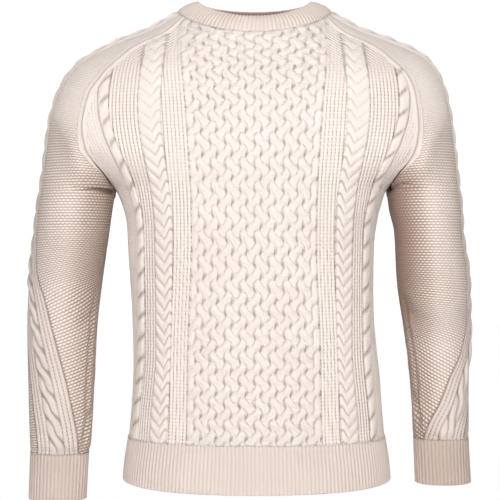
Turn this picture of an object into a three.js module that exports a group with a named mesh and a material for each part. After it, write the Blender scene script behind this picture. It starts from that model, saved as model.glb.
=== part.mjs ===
// A crew-neck cable knit sweater with saddle sleeves, filled out as it is when worn, with nobody in it.
// Every piece of cloth is a thin wall: front, back, two sleeves, neckband, two hem ribs and two cuffs.
// Units are millimetres. +Z is up, the front faces -Y, and +X is the wearer's left.
// The origin is between the shoulders, level with the base of the neckband at its sides.
import * as THREE from "three";

// Driving dimensions
const WALL = 3; // thickness of the knitted cloth
const BAND_WALL = 4.5; // the neckband is a rib folded double
const SEAM_GAP = 0.4; // between two pieces that are sewn together
const FOLD_GAP = 0.45; // the same where a sleeve's cloth lies back against the body's, under the arm
const NECK_LEVEL = 4; // height of the neck seam at its sides
const ARMPIT_LEVEL = -255;
const HEM_SEAM = -609; // where the body's cloth meets the hem rib
const HEM_END = -670;
const DROP_POWER = 1.35; // how quickly a ring sinks from its sides towards its middle

// The body as rings. Each ring's level is its height at the sides, and it sinks by the drops at its middle.
// width, front and back reach from the ring's centre, which lies at x = shift. square is the ring's exponent,
// and seam is how far from the centre the sleeve's seam crosses the ring, down to the armpit.
// fold turns the sleeve's cloth away from the body's at the seam, in degrees: 0 is smooth, 180 folded back.
const BODY = table(
  ["level", "width", "front", "back", "frontDrop", "backDrop", "shift", "square", "seam", "fold"],
  [
    [4, 112, 92, 75, 43, 10, 0, 2.0, 103, 0],
    [-13, 143, 98, 83, 46, 14, 0, 2.1, 126, 0],
    [-36, 198, 106, 93, 49, 18, 0, 2.2, 175, 0],
    [-54, 235, 111, 99, 46, 20, 0, 2.3, 197, 0],
    [-71, 257, 115, 104, 42, 20, 0, 2.3, 212, 0],
    [-106, 278, 121, 111, 34, 18, -4, 2.3, 228, 0],
    [-158, 290, 127, 117, 20, 12, -6, 2.3, 234, 0],
    [-193, 276, 130, 118, 12, 8, -6, 2.3, 230, 25],
    [-215, 250, 131, 118, 7, 5, -5, 2.3, 220, 60],
    [-231, 227, 132, 117, 4, 3, -5, 2.3, 208, 100],
    [-245, 207, 132, 116, 2, 1, -5, 2.3, 200, 145],
    [-255, 196.5, 132, 115, 0, 0, -5, 2.3, 196.5, 180],
    [-280, 187, 131, 113, 0, 0, -4, 2.3, 187, 180],
    [-298, 182.5, 130, 111, 0, 0, -4, 2.3, 182.5, 180],
    [-332, 179, 127, 108, 0, 0, -5, 2.3, 179, 180],
    [-437, 175.5, 118, 99, 0, 0, -2, 2.3, 175.5, 180],
    [-541, 180, 113, 98, 0, 0, 3, 2.3, 180, 180],
    [-609, 185.5, 112, 101, 0, 0, 3, 2.3, 185.5, 180],
    [-646, 191, 115, 105, 3, 2, 3, 2.3, 191, 180],
    [-670, 193, 116, 107, 6, 4, 3, 2.3, 193, 180],
  ],
);

// Each sleeve as rings, from the neck over the shoulder and down to the cuff. outer and inner are the distances of
// the sleeve's two sides from the middle of the sweater, front and back its reach from its own middle, and lean is
// how far that middle stands behind the shoulder line. Above the armpit the seam takes the place of inner.
const SLEEVE_COLUMNS = ["level", "outer", "inner", "front", "back", "lean"];
const RIGHT_SLEEVE = table(SLEEVE_COLUMNS, [
  [4, 112, 103, 40, 34, 0],
  [-19, 152, 130, 60, 55, 0],
  [-36, 196, 175, 66, 62, 0],
  [-54, 231, 197, 70, 66, 0],
  [-71, 257, 212, 72, 68, 0],
  [-106, 282, 228, 72, 68, 0],
  [-158, 298, 234, 72, 67, 0],
  [-228, 307, 216, 70, 65, 0],
  [-255, 311, 201.5, 68, 64, 0],
  [-280, 315, 205, 66, 63, 0],
  [-315, 319, 210, 63, 61, 2],
  [-384, 327, 220, 58, 56, 5],
  [-454, 330, 228, 53, 52, 5],
  [-523, 328, 231, 48, 47, 0],
  [-593, 324, 233, 41, 40, -14],
  [-618, 322, 234, 38, 36, -20],
  [-630, 321, 237, 32, 30, -22],
  [-694, 321, 239, 29, 27, -36],
]);
const LEFT_SLEEVE = table(SLEEVE_COLUMNS, [
  [4, 112, 103, 40, 34, 0],
  [-19, 153, 130, 60, 55, 0],
  [-36, 199, 175, 66, 62, 0],
  [-54, 238, 197, 70, 66, 0],
  [-71, 257, 212, 72, 68, 0],
  [-106, 275, 224, 72, 68, 0],
  [-158, 286, 228, 72, 67, 0],
  [-228, 294, 206, 70, 65, 0],
  [-255, 297, 191.5, 68, 64, 0],
  [-280, 300, 194, 66, 63, 0],
  [-315, 302, 202, 63, 61, 2],
  [-384, 312, 206, 58, 56, 5],
  [-454, 313, 216, 53, 52, 5],
  [-523, 310, 224, 48, 47, 0],
  [-575, 308, 226, 42, 40, -14],
  [-597, 307, 226, 38, 36, -20],
  [-609, 306, 227, 32, 30, -22],
  [-671, 307, 228, 29, 27, -36],
]);
const SLEEVES = [
  { name: "right", side: -1, rings: RIGHT_SLEEVE, cuffSeam: -630, cuffEnd: -694 },
  { name: "left", side: 1, rings: LEFT_SLEEVE, cuffSeam: -609, cuffEnd: -671 },
];

// The neckband runs from the neck seam in and up to its folded edge.
const BAND_SWELL = 2.5; // how far its middle stands out
const BAND_TOP = { width: 80, front: 76, back: 63, level: 19, frontDrop: 33, backDrop: 2.5, square: 2 };

// How finely each piece is faceted
const YOKE_LEVELS = [4, -8, -22, -38, -56, -76, -98, -124, -152, -180, -204, -224, -239, -249, -255];
const BODY_LEVELS = [-264, -280, -300, -340, -390, -440, -490, -550, HEM_SEAM];
const HEM_LEVELS = [HEM_SEAM, -640, HEM_END];
const SLEEVE_STEPS = [0, 0.03, 0.08, 0.16, 0.28, 0.42, 0.56, 0.7, 0.84, 0.94, 1];
const PANEL_COLUMNS = 18;
const ROUND_COLUMNS = 12; // round a sleeve
const ARM_BLEND = { from: -130, to: -215 }; // where the shoulder's ring gives way to the arm's
const SECTIONS = 4; // quarter arcs in a sleeve's ring
const QUARTER_TANGENT = 0.828; // a quarter ellipse's tangent, as a share of the two chords beside it
const SEAM_TANGENT = { smooth: 1.1, folded: 1.29 }; // a ring's first tangent, as a share of its first chord
// Half the angle over which a panel's columns are spread, in degrees
const COLUMN_SPREAD = table(
  ["level", "angle"],
  [
    [4, 67],
    [-36, 59],
    [-71, 53],
    [-158, 51],
    [-215, 58],
    [-280, 72],
    [-350, 90],
    [-700, 90],
  ],
);
const SEAM_REACH = 6; // the higher, the fewer columns follow the seam
const MITRE_LIMIT = 0.6; // a seam's wall is at most this much thicker than the cloth, as a share
const SEAM_PROBE = 0.02; // how far in from a seam its cloth's direction is taken, as a share of the piece
const TINY = 1e-3;

const knit = new THREE.MeshStandardMaterial({ color: 0xe6d5cb, roughness: 0.95, metalness: 0 });
const rib = new THREE.MeshStandardMaterial({ color: 0xe2cfc5, roughness: 0.95, metalness: 0 });

// A table whose columns are cubic curves through its rows that never overshoot.
function table(names, rows) {
  const keys = rows.map((r) => r[0]);
  const curves = {};
  names.slice(1).forEach((name, k) => {
    const values = rows.map((r) => r[k + 1]);
    const steps = values.slice(1).map((v, i) => (v - values[i]) / (keys[i + 1] - keys[i]));
    const slopes = values.map((_, i) => {
      const before = steps[Math.max(i - 1, 0)];
      const after = steps[Math.min(i, steps.length - 1)];
      return before * after <= 0 ? 0 : (2 * before * after) / (before + after);
    });
    curves[name] = { values, slopes };
  });
  return (key) => {
    const last = keys.length - 2;
    let i = 0;
    while (i < last && key < keys[i + 1]) i++;
    const span = keys[i + 1] - keys[i];
    const t = Math.min(Math.max((key - keys[i]) / span, 0), 1);
    const ring = { level: key };
    for (const [name, { values, slopes }] of Object.entries(curves)) {
      const a = values[i];
      const b = values[i + 1];
      const ease = t * t * (3 - 2 * t);
      ring[name] =
        a + (b - a) * ease + span * (slopes[i] * t * (1 - t) ** 2 - slopes[i + 1] * t * t * (1 - t));
    }
    return ring;
  };
}

// A point of a ring. The angle is 0 at the middle of the front and 90 degrees at the wearer's left.
function ringPoint(ring, angle) {
  const s = Math.sin(angle);
  const c = Math.cos(angle);
  const power = ring.square;
  const reach = (Math.abs(s) ** power + Math.abs(c) ** power) ** (-1 / power);
  const depth = Math.abs(c) * reach;
  const sink = (c > 0 ? ring.frontDrop : ring.backDrop) * depth ** DROP_POWER;
  return new THREE.Vector3(
    (ring.shift ?? 0) + ring.width * s * reach,
    c > 0 ? -ring.front * depth : ring.back * depth,
    ring.level - sink,
  );
}

const bodyPoint = (level, angle) => ringPoint(BODY(level), angle);

// The angle at which a ring crosses the seam, from the middle of the front.
function seamAngle(level) {
  const ring = BODY(level);
  const share = Math.min(ring.seam / ring.width, 1);
  return Math.atan2(share, (1 - share ** ring.square) ** (1 / ring.square));
}

// The way a sleeve's ring leaves the seam: along the body's ring, turned forwards (or backwards) by the fold.
function leavingDirection(level, side, front) {
  const angle = seamAngle(level);
  const facing = front ? -1 : 1;
  const at = (a) => bodyPoint(level, side * (front ? a : Math.PI - a));
  const along = at(angle + TINY).sub(at(angle - TINY)).normalize();
  const turn = THREE.MathUtils.degToRad(BODY(level).fold);
  const plan = Math.atan2(-along.y * facing, along.x * side) - turn;
  const flat = Math.hypot(along.x, along.y);
  const rise = along.z * (1 - turn / Math.PI);
  return new THREE.Vector3(side * Math.cos(plan) * flat, -facing * Math.sin(plan) * flat, rise);
}

// How far a sleeve's ring is the arm's, from 0 on the shoulder to 1 near the armpit and below it.
function armBlend(level) {
  return THREE.MathUtils.smoothstep(ARM_BLEND.from - level, 0, ARM_BLEND.from - ARM_BLEND.to);
}

// The five points that a sleeve's ring runs through, from the front seam round the outside to the back one.
function sleeveStations(sleeve, level) {
  const { side, rings } = sleeve;
  const ring = rings(level);
  const outside = new THREE.Vector3(side * ring.outer, ring.lean, level);
  const armAt = (reach, z) => new THREE.Vector3((side * (ring.outer + ring.inner)) / 2, ring.lean + reach, z);
  if (level <= ARMPIT_LEVEL) {
    const underarm = new THREE.Vector3(side * (ring.inner + FOLD_GAP), ring.lean, level);
    return [underarm, armAt(-ring.front, level), outside, armAt(ring.back, level), underarm];
  }
  const angle = seamAngle(level);
  const halfway = (angle + Math.PI / 2) / 2;
  const blend = armBlend(level);
  const quarter = (front) => {
    const turn = (a) => side * (front ? a : Math.PI - a);
    const seam = bodyPoint(level, turn(angle));
    seam.x += side * FOLD_GAP * (BODY(level).fold / 180);
    const edge = bodyPoint(level, turn(Math.PI / 2));
    const shoulder = bodyPoint(level, turn(halfway));
    shoulder.x += (outside.x - edge.x) / 2;
    const arm = armAt(front ? -ring.front : ring.back, (level * 3 + seam.z) / 4);
    return { seam, between: shoulder.lerp(arm, blend) };
  };
  const front = quarter(true);
  const back = quarter(false);
  return [front.seam, front.between, outside, back.between, back.seam];
}

// A point on a sleeve. around runs from 0 at the front seam to 1 at the back one; below the armpit both are the
// underarm seam.
function sleevePoint(sleeve, level, around) {
  const stations = sleeveStations(sleeve, level);
  const tangent = (i) => {
    if (i > 0 && i < SECTIONS) {
      const into = stations[i].clone().sub(stations[i - 1]);
      const out = stations[i + 1].clone().sub(stations[i]);
      const bend = Math.max(into.angleTo(out), TINY);
      const yoke = (2 * Math.tan(bend / 4)) / Math.sin(bend);
      return into.add(out).multiplyScalar(THREE.MathUtils.lerp(yoke, QUARTER_TANGENT, armBlend(level)));
    }
    if (level <= ARMPIT_LEVEL) {
      const reach = stations[1].y - stations[3].y;
      return new THREE.Vector3(0, reach * QUARTER_TANGENT, 0);
    }
    const front = i === 0;
    const chord = stations[i].distanceTo(stations[front ? 1 : SECTIONS - 1]);
    const length = chord * THREE.MathUtils.lerp(SEAM_TANGENT.smooth, SEAM_TANGENT.folded, BODY(level).fold / 180);
    return leavingDirection(level, sleeve.side, front).multiplyScalar(front ? length : -length);
  };
  const place = Math.min(Math.max(around, 0), 1) * SECTIONS;
  const i = Math.min(Math.floor(place), SECTIONS - 1);
  const t = place - i;
  const [a, b] = [stations[i], stations[i + 1]];
  const ease = t * t * (3 - 2 * t);
  return a
    .clone()
    .lerp(b, ease)
    .addScaledVector(tangent(i), t * (1 - t) ** 2)
    .addScaledVector(tangent(i + 1), -t * t * (1 - t));
}

// The outward normal of a surface at (level, place), where place grows from the wearer's right to left at the front.
function normalOf(surface, level, place, outward) {
  const step = 0.5;
  const small = 0.004;
  const [low, high] = [Math.max(place - small, 0), Math.min(place + small, 1)];
  const across = surface(level, high).sub(surface(level, low));
  const down = surface(level - step, place).sub(surface(level + step, place));
  return down.cross(across).multiplyScalar(outward).normalize();
}

// The body's front and back as surfaces of (level, place), with place 0 at the wearer's right. Only the columns
// near a seam follow it round the armpit. The others run down evenly.
function panelSurface(front) {
  return (level, place) => {
    const seam = level > ARMPIT_LEVEL ? seamAngle(level) : Math.PI / 2;
    const even = THREE.MathUtils.degToRad(COLUMN_SPREAD(level).angle);
    const across = 2 * place - 1;
    const angle = across * (even + (seam - even) * Math.abs(across) ** SEAM_REACH);
    return bodyPoint(level, front ? angle : Math.PI - angle);
  };
}

// The wall's direction at a seam between the body and a sleeve, shared by both, so that their edges never cross.
function seamWall(sleeve, level, front) {
  if (level <= ARMPIT_LEVEL) return new THREE.Vector3(0, 0, -1 / MITRE_LIMIT);
  const body = panelSurface(front);
  const right = sleeve.side < 0;
  const arm = (l, p) => sleevePoint(sleeve, l, p);
  const [bodyEdge, armEdge] = [right ? 0 : 1, front ? 0 : 1];
  const inwards = (surface, edge) =>
    surface(level, Math.abs(edge - SEAM_PROBE)).sub(surface(level, edge)).normalize();
  const intoBody = inwards(body, bodyEdge);
  const intoArm = inwards(arm, armEdge);
  const bodyNormal = normalOf(body, level, bodyEdge, front ? 1 : -1);
  const armNormal = normalOf(arm, level, armEdge, sleeve.side);
  const folded = Math.max(0, -bodyNormal.dot(armNormal));
  const mitre = bodyNormal.clone().add(armNormal).addScaledVector(intoBody.add(intoArm), folded).normalize();
  return mitre.divideScalar(Math.max(mitre.dot(bodyNormal), MITRE_LIMIT));
}

// A closed wall from rows of stations {at, wall}: the outer face runs through the stations, and the inner face lies
// inside it by the wall's direction times the thickness. Rows that are closed join their last station to the first.
function wallGeometry(rows, thickness, closed) {
  const [high, wide] = [rows.length, rows[0].length];
  const position = [];
  for (const inside of [0, thickness])
    for (const row of rows)
      for (const { at, wall } of row) position.push(...at.clone().addScaledVector(wall, -inside).toArray());
  const id = (layer, i, j) => (layer * high + i) * wide + (j % wide);
  const faces = [];
  const quad = (a, b, c, d) => faces.push(a, b, c, a, c, d);
  const spans = closed ? wide : wide - 1;
  for (let i = 0; i < high - 1; i++)
    for (let j = 0; j < spans; j++) {
      quad(id(0, i, j), id(0, i + 1, j), id(0, i + 1, j + 1), id(0, i, j + 1));
      quad(id(1, i, j), id(1, i, j + 1), id(1, i + 1, j + 1), id(1, i + 1, j));
    }
  for (let j = 0; j < spans; j++) {
    quad(id(0, 0, j), id(0, 0, j + 1), id(1, 0, j + 1), id(1, 0, j));
    quad(id(0, high - 1, j), id(1, high - 1, j), id(1, high - 1, j + 1), id(0, high - 1, j + 1));
  }
  if (!closed)
    for (let i = 0; i < high - 1; i++) {
      quad(id(0, i, 0), id(1, i, 0), id(1, i + 1, 0), id(0, i + 1, 0));
      quad(id(0, i, wide - 1), id(0, i + 1, wide - 1), id(1, i + 1, wide - 1), id(1, i, wide - 1));
    }
  const geometry = new THREE.BufferGeometry();
  geometry.setAttribute("position", new THREE.Float32BufferAttribute(position, 3));
  geometry.setIndex(faces);
  return geometry;
}

// Moves the outermost stations of a sheet back from its seams, along the cloth, by half the gap.
function trimEdges(rows, closed) {
  const moved = rows.map((row) => row.map(({ at }) => at.clone()));
  const pull = (i, j, towards) => {
    const way = rows[towards[0]][towards[1]].at.clone().sub(rows[i][j].at).normalize();
    moved[i][j].addScaledVector(way, SEAM_GAP / 2);
  };
  const [last, end] = [rows.length - 1, rows[0].length - 1];
  for (let j = 0; j <= end; j++) {
    pull(0, j, [1, j]);
    pull(last, j, [last - 1, j]);
  }
  if (!closed)
    for (let i = 0; i <= last; i++) {
      pull(i, 0, [i, 1]);
      pull(i, end, [i, end - 1]);
    }
  return rows.map((row, i) => row.map(({ wall }, j) => ({ at: moved[i][j], wall })));
}

function pieceMesh(name, rows, material, { thickness = WALL, closed = false } = {}) {
  const mesh = new THREE.Mesh(wallGeometry(trimEdges(rows, closed), thickness, closed), material);
  mesh.name = name;
  return mesh;
}

const spread = (count) => Array.from({ length: count + 1 }, (_, j) => j / count);

// Front or back: the middle of each ring between the two seams. The back's rows run the other way, which keeps
// the outside out.
function bodyRows(front, levels) {
  const surface = panelSurface(front);
  const rows = levels.map((level) =>
    spread(PANEL_COLUMNS).map((place, j) => {
      const sleeve = j === 0 ? SLEEVES[0] : j === PANEL_COLUMNS ? SLEEVES[1] : null;
      const seamed = sleeve && level >= ARMPIT_LEVEL;
      const wall = seamed ? seamWall(sleeve, level, front) : normalOf(surface, level, place, front ? 1 : -1);
      return { at: surface(level, place), wall };
    }),
  );
  return front ? rows : rows.map((row) => row.reverse());
}

// A sleeve or cuff: open above the armpit, where the body is, and rolled to a tube below it.
function sleeveRows(sleeve, levels, places) {
  const surface = (level, place) => sleevePoint(sleeve, level, place);
  const rows = levels.map((level) =>
    places.map((place) => {
      const seamed = (place === 0 || place === 1) && level >= ARMPIT_LEVEL;
      const wall = seamed
        ? seamWall(sleeve, level, place === 0)
        : normalOf(surface, level, place, sleeve.side);
      return { at: surface(level, place), wall };
    }),
  );
  return sleeve.side > 0 ? rows : rows.map((row) => row.reverse());
}

// The neckband: a ring on the neck seam, which shares the upper edges of the front, the sleeves and the back.
function neckbandRows(seam) {
  const neck = BODY(NECK_LEVEL);
  const angleOf = (p) => Math.atan2(p.x / neck.width, -p.y / (p.y < 0 ? neck.front : neck.back));
  const fold = seam.map(({ at }) => ringPoint(BAND_TOP, angleOf(at)));
  const swell = (p) => new THREE.Vector3(p.x, p.y, 0).normalize().setZ(1).multiplyScalar(BAND_SWELL);
  const middle = seam.map(({ at }, j) => at.clone().lerp(fold[j], 0.5).add(swell(at)));
  const made = [fold, middle].map((row, i) =>
    row.map((at, j) => {
      const along = row[(j + 1) % row.length].clone().sub(row[(j + row.length - 1) % row.length]);
      const up = i === 0 ? fold[j].clone().sub(middle[j]) : fold[j].clone().sub(seam[j].at);
      return { at, wall: along.cross(up).normalize() };
    }),
  );
  return [...made, seam];
}

const yokeAndBody = [...YOKE_LEVELS, ...BODY_LEVELS];
const frontRows = bodyRows(true, yokeAndBody);
const backRows = bodyRows(false, yokeAndBody);
const armRows = SLEEVES.map((sleeve) => {
  const length = sleeve.cuffSeam - ARMPIT_LEVEL;
  const tube = SLEEVE_STEPS.slice(1).map((share) => ARMPIT_LEVEL + length * share);
  return sleeveRows(sleeve, [...YOKE_LEVELS, ...tube], spread(ROUND_COLUMNS));
});
const [rightTop, leftTop] = armRows.map((rows) => rows[0].slice(1, -1));
const neckSeam = [...frontRows[0], ...leftTop, ...backRows[0], ...rightTop];

const sweater = new THREE.Group();
sweater.name = "cable_knit_sweater";
sweater.add(pieceMesh("front", frontRows, knit));
sweater.add(pieceMesh("back", backRows, knit));
sweater.add(pieceMesh("hem_rib_front", bodyRows(true, HEM_LEVELS), rib));
sweater.add(pieceMesh("hem_rib_back", bodyRows(false, HEM_LEVELS), rib));
SLEEVES.forEach((sleeve, i) => {
  const cuffLevels = [0, 0.5, 1].map((share) => THREE.MathUtils.lerp(sleeve.cuffSeam, sleeve.cuffEnd, share));
  const cuffRows = sleeveRows(sleeve, cuffLevels, spread(ROUND_COLUMNS).slice(0, -1));
  sweater.add(pieceMesh(`sleeve_${sleeve.name}`, armRows[i], knit));
  sweater.add(pieceMesh(`cuff_${sleeve.name}`, cuffRows, rib, { closed: true }));
});
sweater.add(pieceMesh("neckband", neckbandRows(neckSeam), rib, { thickness: BAND_WALL, closed: true }));

export default sweater;
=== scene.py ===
# A crew-neck cable knit sweater, filled out as when worn: its knitted surfaces, yarn, stage and camera.
# Forms are worked out in millimetres and become metres when a mesh is made.
import math

import bmesh
import bpy
import numpy as np
from bpy.props import FloatProperty, FloatVectorProperty, IntProperty, PointerProperty
from mathutils import Matrix, Vector


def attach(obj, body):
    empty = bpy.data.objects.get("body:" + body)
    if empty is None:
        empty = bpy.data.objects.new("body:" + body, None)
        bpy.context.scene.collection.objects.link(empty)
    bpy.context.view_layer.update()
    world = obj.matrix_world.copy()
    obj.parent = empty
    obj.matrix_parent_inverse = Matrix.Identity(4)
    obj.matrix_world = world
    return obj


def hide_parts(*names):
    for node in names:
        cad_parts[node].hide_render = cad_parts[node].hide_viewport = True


bl_info = {
    "name": "Cable Knit Sweater",
    "version": (1, 0, 0),
    "blender": (4, 5, 0),
    "location": "3D View > Sidebar > Sweater",
    "description": "Knits a cable sweater with saddle sleeves on its frame, and lights it",
    "category": "Add Mesh",
}

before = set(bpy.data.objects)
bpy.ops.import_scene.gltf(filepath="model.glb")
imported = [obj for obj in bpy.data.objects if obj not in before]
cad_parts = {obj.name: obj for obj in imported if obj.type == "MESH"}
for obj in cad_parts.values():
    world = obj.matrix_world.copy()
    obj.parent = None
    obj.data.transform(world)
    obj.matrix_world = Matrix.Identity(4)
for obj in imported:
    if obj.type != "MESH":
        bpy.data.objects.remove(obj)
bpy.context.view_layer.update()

MM = 0.001
NECK_LEVEL = 4
ARMPIT_LEVEL = -255
HEM_SEAM = -609
HEM_END = -670
DROP_POWER = 1.35
FOLD_GAP = 0.45
SEAM_SHARE = 0.0004  # half the gap at a seam, as a share of the cloth's width
TINY = 1e-3


class Table:
    """Columns of numbers as cubic curves through their rows, with no overshoot. The first is the key."""

    def __init__(self, names, rows):
        data = np.array(rows, float)
        self.names = names.split()
        self.keys = data[:, 0]
        self.values = data[:, 1:]
        steps = np.diff(self.values, axis=0) / np.diff(self.keys)[:, None]
        before = np.vstack([steps[:1], steps])
        after = np.vstack([steps, steps[-1:]])
        same_way = before * after > 0
        self.slopes = np.where(same_way, 2 * before * after / np.where(same_way, before + after, 1), 0)

    def __call__(self, key):
        key = np.asarray(key, float)
        i = np.minimum(np.searchsorted(-self.keys[1:], -key, side="left"), len(self.keys) - 2)
        span = (self.keys[i + 1] - self.keys[i])[..., None]
        t = np.clip((key[..., None] - self.keys[i][..., None]) / span, 0, 1)
        value = self.values[i] + (self.values[i + 1] - self.values[i]) * t * t * (3 - 2 * t)
        value = value + span * (self.slopes[i] * t * (1 - t) ** 2 - self.slopes[i + 1] * t * t * (1 - t))
        columns = {name: value[..., k] for k, name in enumerate(self.names)}
        columns["level"] = key
        return columns


# The body as rings: half width, reach to the front and back, how far the ring sinks at its middles, its
# centre, its exponent, how far out the sleeve's seam crosses it, and how far the sleeve folds back there.
BODY = Table(
    "width front back front_drop back_drop shift square seam fold",
    [
        [4, 112, 92, 75, 43, 10, 0, 2.0, 103, 0],
        [-13, 143, 98, 83, 46, 14, 0, 2.1, 126, 0],
        [-36, 198, 106, 93, 49, 18, 0, 2.2, 175, 0],
        [-54, 235, 111, 99, 46, 20, 0, 2.3, 197, 0],
        [-71, 257, 115, 104, 42, 20, 0, 2.3, 212, 0],
        [-106, 278, 121, 111, 34, 18, -4, 2.3, 228, 0],
        [-158, 290, 127, 117, 20, 12, -6, 2.3, 234, 0],
        [-193, 276, 130, 118, 12, 8, -6, 2.3, 230, 25],
        [-215, 250, 131, 118, 7, 5, -5, 2.3, 220, 60],
        [-231, 227, 132, 117, 4, 3, -5, 2.3, 208, 100],
        [-245, 207, 132, 116, 2, 1, -5, 2.3, 200, 145],
        [-255, 196.5, 132, 115, 0, 0, -5, 2.3, 196.5, 180],
        [-280, 187, 131, 113, 0, 0, -4, 2.3, 187, 180],
        [-298, 182.5, 130, 111, 0, 0, -4, 2.3, 182.5, 180],
        [-332, 179, 127, 108, 0, 0, -5, 2.3, 179, 180],
        [-437, 175.5, 118, 99, 0, 0, -2, 2.3, 175.5, 180],
        [-541, 180, 113, 98, 0, 0, 3, 2.3, 180, 180],
        [-609, 185.5, 112, 101, 0, 0, 3, 2.3, 185.5, 180],
        [-646, 191, 115, 105, 3, 2, 3, 2.3, 191, 180],
        [-670, 193, 116, 107, 6, 4, 3, 2.3, 193, 180],
    ],
)
SLEEVE_COLUMNS = "outer inner front back lean"
RIGHT_SLEEVE = Table(
    SLEEVE_COLUMNS,
    [
        [4, 112, 103, 40, 34, 0],
        [-19, 152, 130, 60, 55, 0],
        [-36, 196, 175, 66, 62, 0],
        [-54, 231, 197, 70, 66, 0],
        [-71, 257, 212, 72, 68, 0],
        [-106, 282, 228, 72, 68, 0],
        [-158, 298, 234, 72, 67, 0],
        [-228, 307, 216, 70, 65, 0],
        [-255, 311, 201.5, 68, 64, 0],
        [-280, 315, 205, 66, 63, 0],
        [-315, 319, 210, 63, 61, 2],
        [-384, 327, 220, 58, 56, 5],
        [-454, 330, 228, 53, 52, 5],
        [-523, 328, 231, 48, 47, 0],
        [-593, 324, 233, 41, 40, -14],
        [-618, 322, 234, 38, 36, -20],
        [-630, 321, 237, 32, 30, -22],
        [-694, 321, 239, 29, 27, -36],
    ],
)
LEFT_SLEEVE = Table(
    SLEEVE_COLUMNS,
    [
        [4, 112, 103, 40, 34, 0],
        [-19, 153, 130, 60, 55, 0],
        [-36, 199, 175, 66, 62, 0],
        [-54, 238, 197, 70, 66, 0],
        [-71, 257, 212, 72, 68, 0],
        [-106, 275, 224, 72, 68, 0],
        [-158, 286, 228, 72, 67, 0],
        [-228, 294, 206, 70, 65, 0],
        [-255, 297, 191.5, 68, 64, 0],
        [-280, 300, 194, 66, 63, 0],
        [-315, 302, 202, 63, 61, 2],
        [-384, 312, 206, 58, 56, 5],
        [-454, 313, 216, 53, 52, 5],
        [-523, 310, 224, 48, 47, 0],
        [-575, 308, 226, 42, 40, -14],
        [-597, 307, 226, 38, 36, -20],
        [-609, 306, 227, 32, 30, -22],
        [-671, 307, 228, 29, 27, -36],
    ],
)

# Where a sleeve's rope runs, as a share of the way round from the front seam over the outside to the back.
RIGHT_ROPE = Table(
    "around",
    [
        [4, 0.5],
        [-300, 0.5],
        [-370, 0.465],
        [-412, 0.41],
        [-483, 0.347],
        [-554, 0.291],
        [-622, 0.25],
        [-694, 0.24],
    ],
)
LEFT_ROPE = Table(
    "around",
    [
        [4, 0.5],
        [-430, 0.5],
        [-483, 0.46],
        [-520, 0.40],
        [-554, 0.35],
        [-595, 0.27],
        [-620, 0.25],
        [-694, 0.24],
    ],
)
SLEEVES = {
    "right": {"side": -1, "rings": RIGHT_SLEEVE, "rope": RIGHT_ROPE, "cuff_seam": -630, "cuff_end": -694},
    "left": {"side": 1, "rings": LEFT_SLEEVE, "rope": LEFT_ROPE, "cuff_seam": -609, "cuff_end": -671},
}

BAND_SWELL = 2.5
BAND_WALL = 4.5
BAND_TOP = {
    "width": 80,
    "front": 76,
    "back": 63,
    "level": 19,
    "front_drop": 33,
    "back_drop": 2.5,
    "shift": 0,
    "square": 2,
}
ARM_BLEND = (-130, -215)
SECTIONS = 4
QUARTER_TANGENT = 0.828
SEAM_TANGENT = (1.1, 1.29)
SPREAD = Table(
    "angle", [[4, 67], [-36, 59], [-71, 53], [-158, 51], [-215, 58], [-280, 72], [-350, 90], [-700, 90]]
)
SEAM_REACH = 6

# The stitch columns of the front and back, as distances from the middle to the outer edge of each.
PATTERN_MIDDLE = -1.1
COLUMNS = Table(
    "lattice ribs chevron more_ribs rope",
    [
        [4, 104, 122, 152, 188, 203],
        [-112, 94, 128, 160, 201, 217],
        [-322, 85.5, 112, 137.7, 153.3, 165],
        [-477, 91.3, 115, 137, 154, 166.6],
        [-586, 93.2, 120, 146, 163, 174],
        [-609, 94, 121, 147, 164, 175],
    ],
)
# How dark parts of the cloth are painted, next to a full hollow, and how far that reaches: painted shade, and
# the dark lines along the seams
BAND_DEEP = 0.2
BAND_PURL = 0.35
# painted shade over the whole of each band, the left cuff's deeper than the right's
HEM_SHADE = 0.74
NECKBAND_SHADE = 0.74
CUFF_SHADE = {"right": 1.08, "left": 1.24}
# painted shade on the inside of every piece
INSIDE_SHADE = 0.9
# painted shade over the sleeves' moss, their plain caps, and their ribs and rope
MOSS_SHADE = 0.27
CAP_SHADE = 0.15
SLEEVE_SHADE = 0.38
# painted shadow on each sleeve's inner side, which faces the body
INNER_SHADE = {"right": 0.68, "left": 1.5}
INNER_REACH = (0.26, 0.03)  # shares of the way round where the painted shade on a sleeve's inner side starts and is full
FOREARM_LEVELS = (-480, -400)  # below them the painted shade on a sleeve's inner side is down to the share that follows
FOREARM_SHARE = 0.4
SEAM_DARK = 0.6
SEAM_DARK_REACH = 1.6
# painted shade in the groove where a sleeve's ribs end, and in the creases from the armpits
RIB_END_DARK = 0.45
CREASE_DARK = 1.0
LINE_REACH = 1.3
RIB_STITCH_STRENGTH = 0.2  # the bands' stitches next to the other cloth's: how much painted shade their gaps get and how deep they are
RIB_STITCH_DEPTH = 0.4
# A hollow's depth is measured against this many rows and columns about it, and these depths start and end its
# darkness.
HOLLOW_REACH = (2, 4)
HOLLOW_DEPTHS = (0.3, 1.5)
ARMPIT_CURVE = (-185, -305)  # levels between which the inside follows the outside more closely
ARMPIT_CREASE = (-232, -278)
UNDERARM_LEVELS = (-215, -262)  # levels between which the painted shade on a sleeve's inner side comes in
FOLD_LEVELS = (-300, -250)  # levels between which a sleeve's seam fades out twice as wide
INSIDE_CLEAR = 0.6  # how much further in than the wall the inside lies
SIDE_SINK = 0.6  # how far the relief sinks at the side seams and at the bands
BAND_SINK = -0.5
BAND_GAP = 0.15
SEAM_FADE = 4.0
BODY_PLAIN = 2.6  # the height of the relief that lies on the cloth's own surface
SLEEVE_PLAIN = 2.0
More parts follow.
